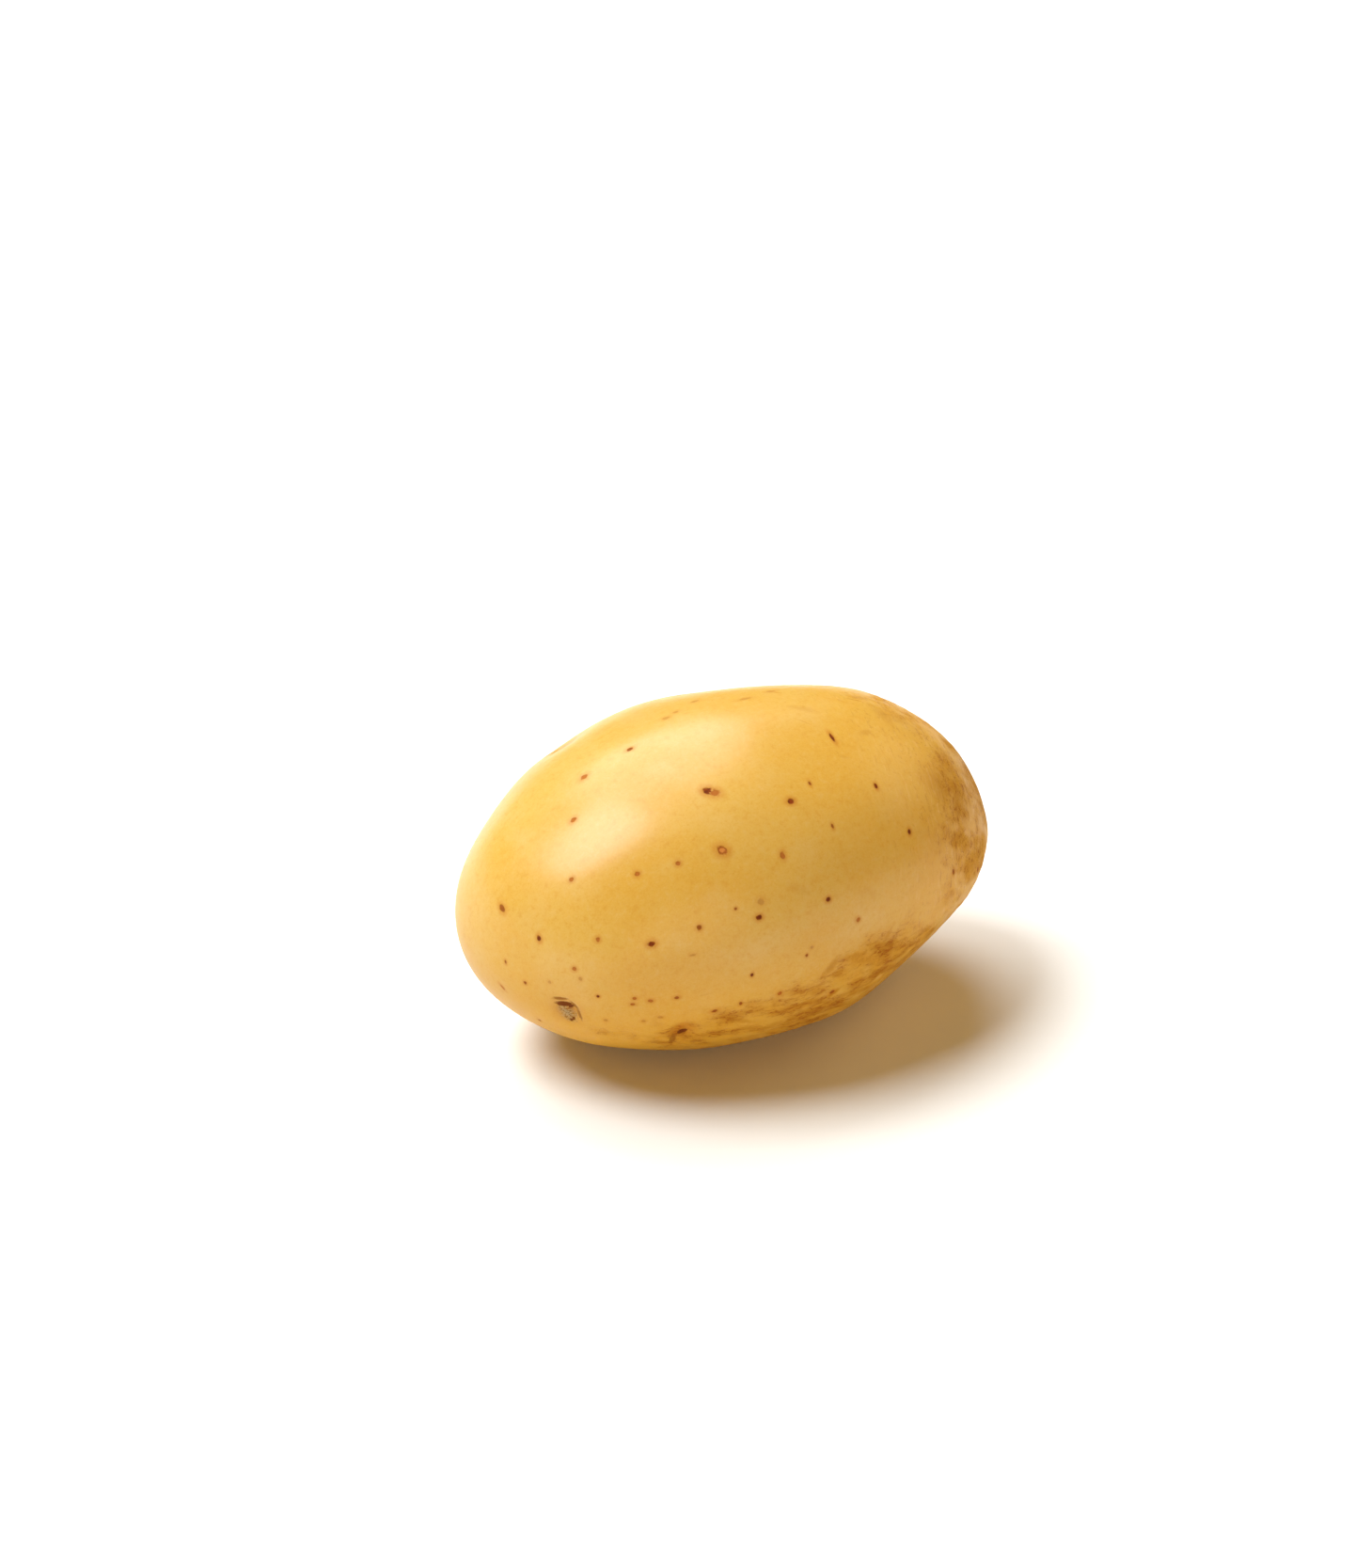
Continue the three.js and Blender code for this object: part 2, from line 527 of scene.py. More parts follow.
class EyeKind(Enum):
    """The kinds of eye: the stem scar's, a shallow dimple, and one with a bud."""

    SCAR = EyeShape(0.35 * MM, 0.8, 0.0)
    DIMPLE = EyeShape(0.0, 0.3, 0.0)
    BUD = EyeShape(0.28 * MM, 0.75, 0.75)


@dataclass(frozen=True)
class Eye(Mark):
    """One eye: a hollow with a brow over it, which lies along the hollow's length from its middle.

    Args:
        depth_mm: The hollow's depth, in millimetres.
        kind: What stands in it.
    """

    depth_mm: float
    kind: EyeKind = EyeKind.BUD

    def look(self) -> Triple:
        """Its darkness, and two numbers that an eye doesn't need."""
        return (self.kind.value.darkness, 0.0, 0.0)


EYES: tuple[Eye, ...] = (
    Eye(-0.83, 113, 8, 8, -50, 0.7, EyeKind.SCAR),
    Eye(-0.48, 118, 6, 6, -90, 0.5, EyeKind.DIMPLE),
    Eye(0.1, -75, 9, 9, 170, 0.9),
    Eye(-0.45, -40, 9, 9, 190, 0.9),
    Eye(-0.3, -120, 9, 9, 175, 0.9),
    Eye(0.45, -135, 8.5, 8.5, 185, 0.9),
    Eye(0.62, -62, 8.5, 8.5, 170, 1.0),
    Eye(0.86, -105, 7.5, 7.5, 180, 0.9),
    Eye(0.93, -30, 6.5, 6.5, 200, 0.7),
)


@dataclass(frozen=True)
class RussetPatch:
    """A patch of rough tan skin that fades out round its middle.

    Args:
        along: Its middle along the tuber.
        around: Its middle around the tuber, in degrees.
        reach_along: How far it reaches along.
        reach_around: How far it reaches around, in degrees.
        strength: How rough its middle is, from 0 to 1.
    """

    along: float
    around: float
    reach_along: float
    reach_around: float
    strength: float

    def mask(self, directions: np.ndarray) -> np.ndarray:
        """The patch's strength: a bell curve of the distance each way, in its own reaches.

        Args:
            directions: Unit directions, one in each row.

        Returns:
            The strength at each.
        """
        turned = (around_of(directions) - self.around + 180.0) % 360.0 - 180.0
        along = bell(directions[:, 0], self.along, self.reach_along)
        return self.strength * along * bell(turned, 0.0, self.reach_around)


RUSSET_PATCHES: tuple[RussetPatch, ...] = (
    # the first three lie along the lower front: real tan russet, and also painted shade that
    # darkens the lower flank
    RussetPatch(0.3, 113, 0.38, 20, 0.82),
    RussetPatch(-0.05, 120, 0.42, 18, 0.75),
    RussetPatch(-0.45, 126, 0.32, 16, 0.5),
    RussetPatch(0.74, 78, 0.26, 36, 0.55),
    RussetPatch(0.6, 0, 0.3, 28, 0.36),
    RussetPatch(0.3, 200, 0.5, 30, 0.5),
    RussetPatch(-0.2, -95, 0.22, 25, 0.35),
    RussetPatch(0.7, -70, 0.3, 40, 0.5),
)


@dataclass(frozen=True)
class Ripples:
    """Smooth random relief: a sum of flat waves with random directions and starts.

    Args:
        longest: The longest wave.
        shortest: The shortest wave.
        stretch: How many times longer the waves are along each axis of the points.
        seed: Fixes the waves.
        count: How many waves are added up.
    """

    longest: float
    shortest: float
    stretch: Triple
    seed: int
    count: int = 48

    def heights(self, points: np.ndarray) -> np.ndarray:
        """The sum of the waves' cosines, scaled to a spread of about 1.

        Args:
            points: Places, one in each row.

        Returns:
            One number for each place, mostly between -2 and 2.
        """
        draw = np.random.default_rng(self.seed)
        heading = draw.normal(size=(self.count, 3))
        heading /= np.linalg.norm(heading, axis=1)[:, None]
        length = self.shortest * (self.longest / self.shortest) ** draw.random(self.count)
        start = draw.random(self.count) * 2.0 * math.pi
        waves = heading / np.array(self.stretch) * (2.0 * math.pi / length)[:, None]
        return np.cos(points @ waves.T + start).sum(axis=1) * math.sqrt(2.0 / self.count)


# --------------------------------------------------------------------------- materials


class Value:
    """A number, vector or colour on its way through a material's nodes."""

    def __init__(self, nodes: "Nodes", socket: bpy.types.NodeSocket) -> None:
        """Wraps an output socket."""
        self.nodes = nodes
        self.socket = socket

    def _sum(self, operation: str, *terms: Any) -> "Value":
        """Adds a Math node."""
        return self.nodes.add("ShaderNodeMath", {"operation": operation}, dict(enumerate(terms)))

    def __add__(self, other: Any) -> "Value":
        """self + other."""
        return self._sum("ADD", self, other)

    __radd__ = __add__

    def __sub__(self, other: Any) -> "Value":
        """self - other."""
        return self._sum("SUBTRACT", self, other)

    def __rsub__(self, other: Any) -> "Value":
        """other - self."""
        return self._sum("SUBTRACT", other, self)

    def __mul__(self, other: Any) -> "Value":
        """self * other."""
        return self._sum("MULTIPLY", self, other)

    __rmul__ = __mul__

    def __truediv__(self, other: Any) -> "Value":
        """self / other."""
        return self._sum("DIVIDE", self, other)

    def distance(self, other: "Value") -> "Value":
        """How far the point (self, other) is from the middle: the root of their squares' sum."""
        return self._sum("POWER", self * self + other * other, 0.5)

    def at_most(self, other: Any) -> "Value":
        """The smaller of the two."""
        return self._sum("MINIMUM", self, other)

    def at_least(self, other: Any) -> "Value":
        """The larger of the two."""
        return self._sum("MAXIMUM", self, other)

    def absolute(self) -> "Value":
        """Its size without its sign."""
        return self._sum("ABSOLUTE", self)

    def band(self, low: float, full: float, still: float, high: float) -> "Value":
        """1 from `full` to `still`, falling smoothly to 0 at `low` and at `high`."""
        return self.step(low, full) * self.step(high, still)

    def step(self, low: float, high: float) -> "Value":
        """A smooth rise from 0 where the value is `low` to 1 where it is `high`; high may be lower.

        Args:
            low: The value that gives 0.
            high: The value that gives 1.

        Returns:
            The smoothed share.
        """
        settings = {"interpolation_type": "SMOOTHSTEP"}
        if low < high:
            return self.nodes.add("ShaderNodeMapRange", settings, {0: self, 1: low, 2: high})
        falling = {0: self, 1: high, 2: low, 3: 1.0, 4: 0.0}
        return self.nodes.add("ShaderNodeMapRange", settings, falling)


class Nodes:
    """A material's node tree, which adds nodes from their type, settings and inputs."""

    def __init__(self, tree: bpy.types.NodeTree) -> None:
        """Starts with an empty tree."""
        self.tree = tree
        tree.nodes.clear()

    def add(
        self, kind: str, settings: dict[str, Any], inputs: dict[Any, Any], output: int | str = 0
    ) -> Value:
        """Adds one node.

        Args:
            kind: The node's type.
            settings: Its properties, which are set first.
            inputs: Values or numbers for its sockets, by name or number.
            output: The output that is wanted.

        Returns:
            That output.
        """
        node = self.tree.nodes.new(kind)
        for name, setting in settings.items():
            setattr(node, name, setting)
        for name, value in inputs.items():
            if isinstance(value, Value):
                self.tree.links.new(value.socket, node.inputs[name])
            else:
                node.inputs[name].default_value = value
        return Value(self, node.outputs[output])

    def end(self, kind: str, surface: Value) -> None:
        """Adds the output node."""
        self.tree.links.new(surface.socket, self.tree.nodes.new(kind).inputs["Surface"])

    def attribute(self, name: str) -> Value:
        """A vector that the mesh carries."""
        settings = {"attribute_type": "GEOMETRY", "attribute_name": name}
        return self.add("ShaderNodeAttribute", settings, {}, "Vector")

    def share(self, name: str) -> Value:
        """A number that the mesh carries."""
        settings = {"attribute_type": "GEOMETRY", "attribute_name": name}
        return self.add("ShaderNodeAttribute", settings, {}, "Fac")

    def parts(self, vector: Value) -> tuple[Value, Value, Value]:
        """Takes a vector apart.

        Args:
            vector: The vector.

        Returns:
            Its three numbers.
        """
        x = self.add("ShaderNodeSeparateXYZ", {}, {0: vector})
        outputs = x.socket.node.outputs
        return x, Value(self, outputs[1]), Value(self, outputs[2])

    def stretched(self, vector: Value, factors: Triple) -> Value:
        """The vector with each of its numbers multiplied."""
        settings = {"operation": "MULTIPLY"}
        return self.add("ShaderNodeVectorMath", settings, {0: vector, 1: factors})

    def shifted(self, vector: Value, distance: Value) -> Value:
        """The vector with the distance added to each of its numbers."""
        return self.add("ShaderNodeVectorMath", {"operation": "ADD"}, {0: vector, 1: distance})

    def noise(
        self, place: Value, grain: float, detail: float = 2.0, roughness: float = 0.5
    ) -> Value:
        """Smooth noise around 0.5.

        Args:
            place: Where it is read, in metres.
            grain: The size of its lumps, in metres.
            detail: How many finer layers it has.
            roughness: How strong the finer layers are.

        Returns:
            The noise.
        """
        inputs = {"Vector": place, "Scale": 1.0 / grain, "Detail": detail, "Roughness": roughness}
        return self.add("ShaderNodeTexNoise", {"noise_dimensions": "3D"}, inputs, "Fac")

    def wobble(
        self, place: Value, grain: float, detail: float = 2.0, roughness: float = 0.5
    ) -> Value:
        """The same noise around 0."""
        return self.noise(place, grain, detail, roughness) - 0.5

    def veins(self, place: Value, width: float) -> Value:
        """Thin wandering lines: 1 where a noise crosses its middle, and 0 `width` off it."""
        return self.wobble(place, 1.3 * MM, 3.0, 0.6).absolute().step(width, 0.0)

    def blend(self, share: Value | float, first: Any, second: Any) -> Value:
        """Mixes two colours.

        Args:
            share: 0 gives the first and 1 the second.
            first: A colour or a value.
            second: A colour or a value.

        Returns:
            The mixed colour.
        """
        node = self.tree.nodes.new("ShaderNodeMix")
        node.data_type = "RGBA"
        for number, value in ((0, share), (6, first), (7, second)):
            if isinstance(value, Value):
                self.tree.links.new(value.socket, node.inputs[number])
            elif number == 0:
                node.inputs[number].default_value = value
            else:
                node.inputs[number].default_value = (*value, 1.0)
        return Value(self, node.outputs[2])

    def layers(self, colour: Any, *layers: tuple[Value, Any]) -> Value:
        """Lays colours over one another, each given as its share and itself.

        Args:
            colour: The lowest colour.
            layers: The colours over it, from the lowest up.

        Returns:
            The mixed colour.
        """
        for share, tint in layers:
            colour = self.blend(share, colour, tint)
        return colour


@dataclass(frozen=True)
class Mottle:
    """Soft blotches of another colour.

    Args:
        colour: Their colour.
        size: How big they are.
        detail: How many finer layers break them up.
        crumble: How strong those layers are.
        none: The noise where they don't show.
        full: The noise where they show most, which may be the lower one.
        share: How much they show there.
    """

    colour: Colour
    size: float
    detail: float
    crumble: float
    none: float
    full: float
    share: float

    def layer(self, n: Nodes, place: Value) -> tuple[Value, Colour]:
        """Its share over the skin and its colour."""
        noise = n.noise(place, self.size, self.detail, self.crumble)
        return noise.step(self.none, self.full) * self.share, self.colour


@dataclass(frozen=True)
class PotatoSkin:
    """The finish of washed yellow potato skin: waxy and smooth, with pores, scars, tan russet and
    painted bounce light.

    Args:
        wax_yellow: The smooth skin.
        deep_yellow: Its richer patches.
        pale_yellow: Its thin pale patches.
        painted_bounce_orange: Painted orange bounce light on the skin towards the belly.
        rose_tan: The skin towards the rose end.
        tan: The raised flakes of the russet.
        flake_pale: The thin pale flakes of the rose half.
        line_brown: The fine lines between them.
        crack_brown: The cracks of a scar.
        pore_brown: The middle of a dark pore.
        pore_rust: The middle of a rusty pore.
        pore_pale: The healed centre of a ringed pore.
        halo: The stained skin round a pore or a scar.
        smudge_brown: The brown of smears and scuffs.
        cork: The corky middle of a scar.
        smooth_roughness: How dull the smooth skin is.
        russet_roughness: How dull the russet is.
        flesh_glow: How much light passes through the surface.
        wax_coat: How strong the wax's own shine is on smooth skin.
        wax_roughness: How soft that shine is.
        belly_fade: The heights between which the skin turns towards the painted orange bounce
            light.
        rose_end: Between which places along X the rose end's own marks begin.
        rose_half: Between which places along X the skin turns towards the rose end's colour.
        painted_bounce_share: How far it turns towards the painted orange bounce light.
        rose_share: How far it turns towards the rose end's colour.
        belly_wear: How much of the wax is gone from the belly.
        rose_wear: How much of the wax is gone from the rose end.
        flank_stretch: How the grain is scaled for the streaks that run along the tuber.
        end_stretch: How it is scaled for the dashes that run round the rose end.
        end_bend: How far those dashes wander.
        flake_height: How high the russet's flakes stand, in millimetres.
        crack_depth: How deep its cracks are, in millimetres.
        refraction: The wax's refractive index.
        shine: How strong the skin's own shine is under the wax.
        light_spread: How far red, green and blue light spread in the flesh, as shares.
        light_depth: How far the red spreads.
    """

    wax_yellow: Colour = (0.61, 0.375, 0.076)
    deep_yellow: Colour = (0.6, 0.335, 0.044)
    pale_yellow: Colour = (0.63, 0.415, 0.13)
    painted_bounce_orange: Colour = (0.59, 0.28, 0.012)
    rose_tan: Colour = (0.66, 0.335, 0.026)
    tan: Colour = (0.52, 0.245, 0.024)
    flake_pale: Colour = (0.74, 0.47, 0.15)
    line_brown: Colour = (0.3, 0.08, 0.004)
    crack_brown: Colour = (0.14, 0.03, 0.003)
    pore_brown: Colour = (0.09, 0.01, 0.002)
    pore_rust: Colour = (0.3, 0.048, 0.004)
    pore_pale: Colour = (0.6, 0.22, 0.05)
    halo: Colour = (0.45, 0.145, 0.008)
    smudge_brown: Colour = (0.38, 0.145, 0.01)
    cork: Colour = (0.47, 0.35, 0.17)
    smooth_roughness: float = 0.5
    russet_roughness: float = 0.8
    flesh_glow: float = 0.25
    wax_coat: float = 0.55
    wax_roughness: float = 0.27
    belly_fade: tuple[float, float] = (34 * MM, 4 * MM)
    rose_end: tuple[float, float] = (14 * MM, 34 * MM)
    rose_half: tuple[float, float] = (0.0, 40 * MM)
    painted_bounce_share: float = 0.72
    rose_share: float = 0.55
    belly_wear: float = 0.8
    rose_wear: float = 0.6
    flank_stretch: Triple = (0.4, 1.0, 1.0)
    end_stretch: Triple = (1.0, 0.22, 0.22)
    end_bend: float = 6 * MM
    flake_height: float = 0.16
    crack_depth: float = 0.11
    refraction: float = 1.42
    shine: float = 0.12
    light_spread: Triple = (1.0, 0.55, 0.2)
    light_depth: float = 2.5 * MM

    def make(self) -> bpy.types.Material:
        """Builds the material.

        Returns:
            The material, whose patterns read the attributes that the skin's mesh carries.
        """
        material = bpy.data.materials.new("potato_skin")
        material.use_nodes = True
        n = Nodes(material.node_tree)
        place = n.add("ShaderNodeTexCoord", {}, {}, "Object")
        lengthwise, _, height_up = n.parts(place)
        low_down = height_up.step(*self.belly_fade)
        rose_end = lengthwise.step(*self.rose_end)
        rose_half = lengthwise.step(*self.rose_half)
        russet = n.share("russet")

        colour = n.layers(
            self.wax_yellow,
            *(mottle.layer(n, place) for mottle in self._mottles()),
            # painted bounce light: the skin turns orange towards the belly, as warm light bounced
            # up from below would tint it
            (low_down * self.painted_bounce_share, self.painted_bounce_orange),
            (rose_half * self.rose_share, self.rose_tan),
        )
        colour, russet_height = self._russet(n, colour, place, russet, rose_end, rose_half)
        colour, eye_height = self._eyes(n, colour, place)
        colour, smear_height, smear_dull = self._smears(n, colour, place)
        colour, pore_height, pore_dull = self._pores(n, colour, place)

        fine = n.wobble(place, 0.7 * MM, 3.0, 0.6)
        dull = (russet.step(0.03, 0.7) + pore_dull + smear_dull).at_most(1.0)
        wax_left = 1.0 - dull
        wax_left = wax_left * (1.0 - rose_end * self.rose_wear) * (1.0 - low_down * self.belly_wear)
        roughness = self.smooth_roughness + dull * (self.russet_roughness - self.smooth_roughness)
        height = fine * 0.02 + n.wobble(place, 2.4 * MM) * 0.03
        height = height + n.wobble(place, 0.32 * MM, 2.0, 0.6) * (russet * 0.05 + 0.004)
        height = height + russet_height + pore_height + eye_height + smear_height
        bump_inputs = {"Strength": 1.0, "Distance": MM, "Height": height}
        inputs = {
            "Base Color": colour,
            "Roughness": roughness + n.wobble(place, 5 * MM) * 0.1 + fine * 0.08,
            "Normal": n.add("ShaderNodeBump", {}, bump_inputs, "Normal"),
            "IOR": self.refraction,
            "Specular IOR Level": self.shine,
            "Subsurface Weight": self.flesh_glow,
            "Subsurface Radius": self.light_spread,
            "Subsurface Scale": self.light_depth,
            "Coat Weight": wax_left * self.wax_coat,
            "Coat Roughness": self.wax_roughness,
        }
        settings = {"subsurface_method": "RANDOM_WALK"}
        shader = n.add("ShaderNodeBsdfPrincipled", settings, inputs)
        n.end("ShaderNodeOutputMaterial", shader)
        return material

    def _mottles(self) -> tuple[Mottle, ...]:
        """The smooth skin's blotches, from wide richer patches down to dust."""
        return (
            Mottle(self.deep_yellow, 16 * MM, 2.0, 0.5, 0.35, 0.68, 0.8),
            Mottle(self.pale_yellow, 9 * MM, 1.0, 0.5, 0.5, 0.8, 0.5),
            Mottle(self.deep_yellow, 2.6 * MM, 3.0, 0.5, 0.5, 0.85, 0.25),
            Mottle(self.tan, 0.32 * MM, 2.0, 0.6, 0.46, 0.78, 0.3),
            Mottle(self.pale_yellow, 0.32 * MM, 2.0, 0.6, 0.52, 0.24, 0.25),
            Mottle(self.tan, 1.1 * MM, 3.0, 0.7, 0.5, 0.75, 0.4),
            Mottle(self.pale_yellow, 1.1 * MM, 3.0, 0.7, 0.5, 0.25, 0.35),
        )

    def _russet(
        self,
        n: Nodes,
        colour: Value,
        place: Value,
        russet: Value,
        rose_end: Value,
        rose_half: Value,
    ) -> tuple[Value, Value]:
        """Paints the rough tan skin: clouds and streaks along the flank, dashes round the rose end.

        Args:
            n: The material's nodes.
            colour: The skin's colour so far.
            place: The object's coordinates.
            russet: How rough the skin is.
            rose_end: 1 on the rose end, where the dashes are.
            rose_half: How far towards the rose end.

        Returns:
            The new colour, and the russet's height in millimetres.
        """
        grain = n.attribute("grain")
        flakes = n.noise(grain, 1.3 * MM, 4.0, 0.62)
        along_skin = n.stretched(grain, self.flank_stretch)
        clouds = n.noise(along_skin, 2.4 * MM, 4.0, 0.6)
        grit = n.noise(along_skin, 0.6 * MM, 4.0, 0.7).step(0.52, 0.7)
        streaks = n.veins(along_skin, 0.04) * clouds.step(0.4, 0.6)

        bend = n.wobble(place, 5 * MM) * self.end_bend
        round_end = n.shifted(n.stretched(grain, self.end_stretch), bend)
        dashes = n.noise(round_end, 0.55 * MM, 3.0, 0.6).step(0.47, 0.33) * flakes.step(0.36, 0.58)
        pale_flakes = n.noise(round_end, 0.9 * MM, 3.0, 0.65).step(0.54, 0.7)
        end_lines = dashes + n.veins(grain, 0.035) * 0.4

        cracks = (streaks * (1.0 - rose_end) + end_lines * rose_end).at_most(1.0)
        worn = clouds.step(0.38, 0.64) * 0.7 + flakes.step(0.45, 0.7) * 0.3
        worn = worn * (1.0 - rose_end * 0.65)
        colour = n.layers(
            colour,
            (pale_flakes * rose_half * 0.5, self.flake_pale),
            (dashes * rose_half * 0.4, self.line_brown),
            (russet.step(0.03, 0.85) * 0.75, self.tan),
            (worn * russet.step(0.08, 0.7), self.smudge_brown),
            (grit * russet.step(0.06, 0.6) * 0.5, self.line_brown),
            (cracks * russet.step(0.04, 0.5) * 0.8, self.line_brown),
        )
        height = (flakes - 0.5) * self.flake_height - cracks * self.crack_depth
        return colour, height * russet

    def _smears(self, n: Nodes, colour: Value, place: Value) -> tuple[Value, Value, Value]:
        """Draws the nearest smear: a ragged brown patch, a darker crack or a lump of grey cork.

        Args:
            n: The material's nodes.
            colour: The skin's colour so far.
            place: The object's coordinates.

        Returns:
            The new colour, the smear's height in millimetres, and its dullness.
        """
        lengthwise, crosswise, _ = n.parts(n.attribute("smear"))
        strength, dark, grey = n.parts(n.attribute("smear_look"))
        ragged = n.wobble(place, 0.9 * MM, 4.0, 0.7)
        away = lengthwise.distance(crosswise) + ragged * (1.5 - dark * 0.5)
        patch = ((1.3 - away) * (dark + 1.0)).step(0.0, 1.1) * strength
        crumbs = n.noise(place, 0.4 * MM, 3.0, 0.7)
        paint = n.blend(dark, self.smudge_brown, self.crack_brown)
        crumbly = n.blend(crumbs.step(0.4, 0.54), self.crack_brown, self.cork)
        paint = n.blend(grey, paint, crumbly)
        height = patch * (grey * crumbs * 0.5 - dark * 0.14 - 0.02)
        return n.blend(patch * (dark * 0.15 + 0.8), colour, paint), height, patch

    def _pores(self, n: Nodes, colour: Value, place: Value) -> tuple[Value, Value, Value]:
        """Draws the nearest pore: a stained ring, a dark middle and a paler healed centre.

        Args:
            n: The material's nodes.
            colour: The skin's colour so far.
            place: The object's coordinates.

        Returns:
            The new colour, the pore's height in millimetres, and its dullness.
        """
        lengthwise, crosswise, _ = n.parts(n.attribute("pore"))
        strength, pale, redness = n.parts(n.attribute("pore_look"))
        away = lengthwise.distance(crosswise) + n.wobble(place, 0.6 * MM, 3.0, 0.65) * 1.1
        blotch = n.noise(place, 0.5 * MM, 1.0)
        middle = away.step(1.2, 0.65) * strength
        stain = away.step(2.9, 0.6) * strength
        centre = away.step(0.72, 0.3) * pale
        core = n.layers(
            self.pore_brown,
            (redness, self.pore_rust),
            (blotch.step(0.45, 0.65) * 0.5, self.pore_rust),
            (centre, self.pore_pale),
        )
        colour = n.layers(colour, (stain * 0.65, self.halo), (middle * 0.95, core))
        rim = away.band(0.7, 1.1, 1.1, 1.7) * strength
        return colour, rim * 0.025 - middle * 0.05, middle + stain * 0.4

    def _eyes(self, n: Nodes, colour: Value, place: Value) -> tuple[Value, Value]:
        """Draws the nearest eye: a stained hollow with dark lines under its brow.

        Args:
            n: The material's nodes.
            colour: The skin's colour so far.
            place: The object's coordinates.

        Returns:
            The new colour, and the eye's height in millimetres.
        """
        to_brow, crosswise, _ = n.parts(n.attribute("eye"))
        strength, _, _ = n.parts(n.attribute("eye_look"))
        ragged = n.wobble(place, 0.9 * MM, 3.0, 0.65)
        away = to_brow.distance(crosswise) + ragged * 0.25
        under_brow = (to_brow / away.at_least(0.05)).step(-0.1, 0.75) * strength
        stain = away.step(1.0, 0.15)
        lines = away.band(0.42, 0.52, 0.56, 0.66) + away.band(0.2, 0.3, 0.34, 0.42) * 0.8
        dark = (lines * under_brow).at_most(1.0) * ragged.step(-0.2, 0.1)
        colour = n.layers(colour, (stain * 0.5, self.halo), (dark * 0.8, self.crack_brown))
        return colour, dark * -0.1


@dataclass(frozen=True)
class StudioFloor:
    """The finish of the plain pale floor."""

    white: Colour = (0.86, 0.86, 0.86)

    def make(self) -> bpy.types.Material:
        """Builds the material.

        Returns:
            The material.
        """
        material = bpy.data.materials.new("studio_floor")
        material.use_nodes = True
        n = Nodes(material.node_tree)
        shade = n.noise(n.add("ShaderNodeTexCoord", {}, {}, "Object"), 0.4, 1.0)
        colour = n.blend(shade * 0.04, self.white, (0.8, 0.8, 0.8))
        shader = n.add("ShaderNodeBsdfPrincipled", {}, {"Base Color": colour, "Roughness": 0.8})
        n.end("ShaderNodeOutputMaterial", shader)
        return material


# --------------------------------------------------------------------------- the potato


@dataclass(frozen=True)
class Net:
    """The net of quads as it lies over the plain tuber.

    Args:
        directions: Unit directions from inside the tuber, one in each row.
        quads: Rows of four corners, by number.
        points: Points of the skin.
        normals: Its outward unit normals.
        grain: Coordinates that follow the skin, in metres.
    """

    directions: np.ndarray
    quads: np.ndarray
    points: np.ndarray
    normals: np.ndarray
    grain: np.ndarray


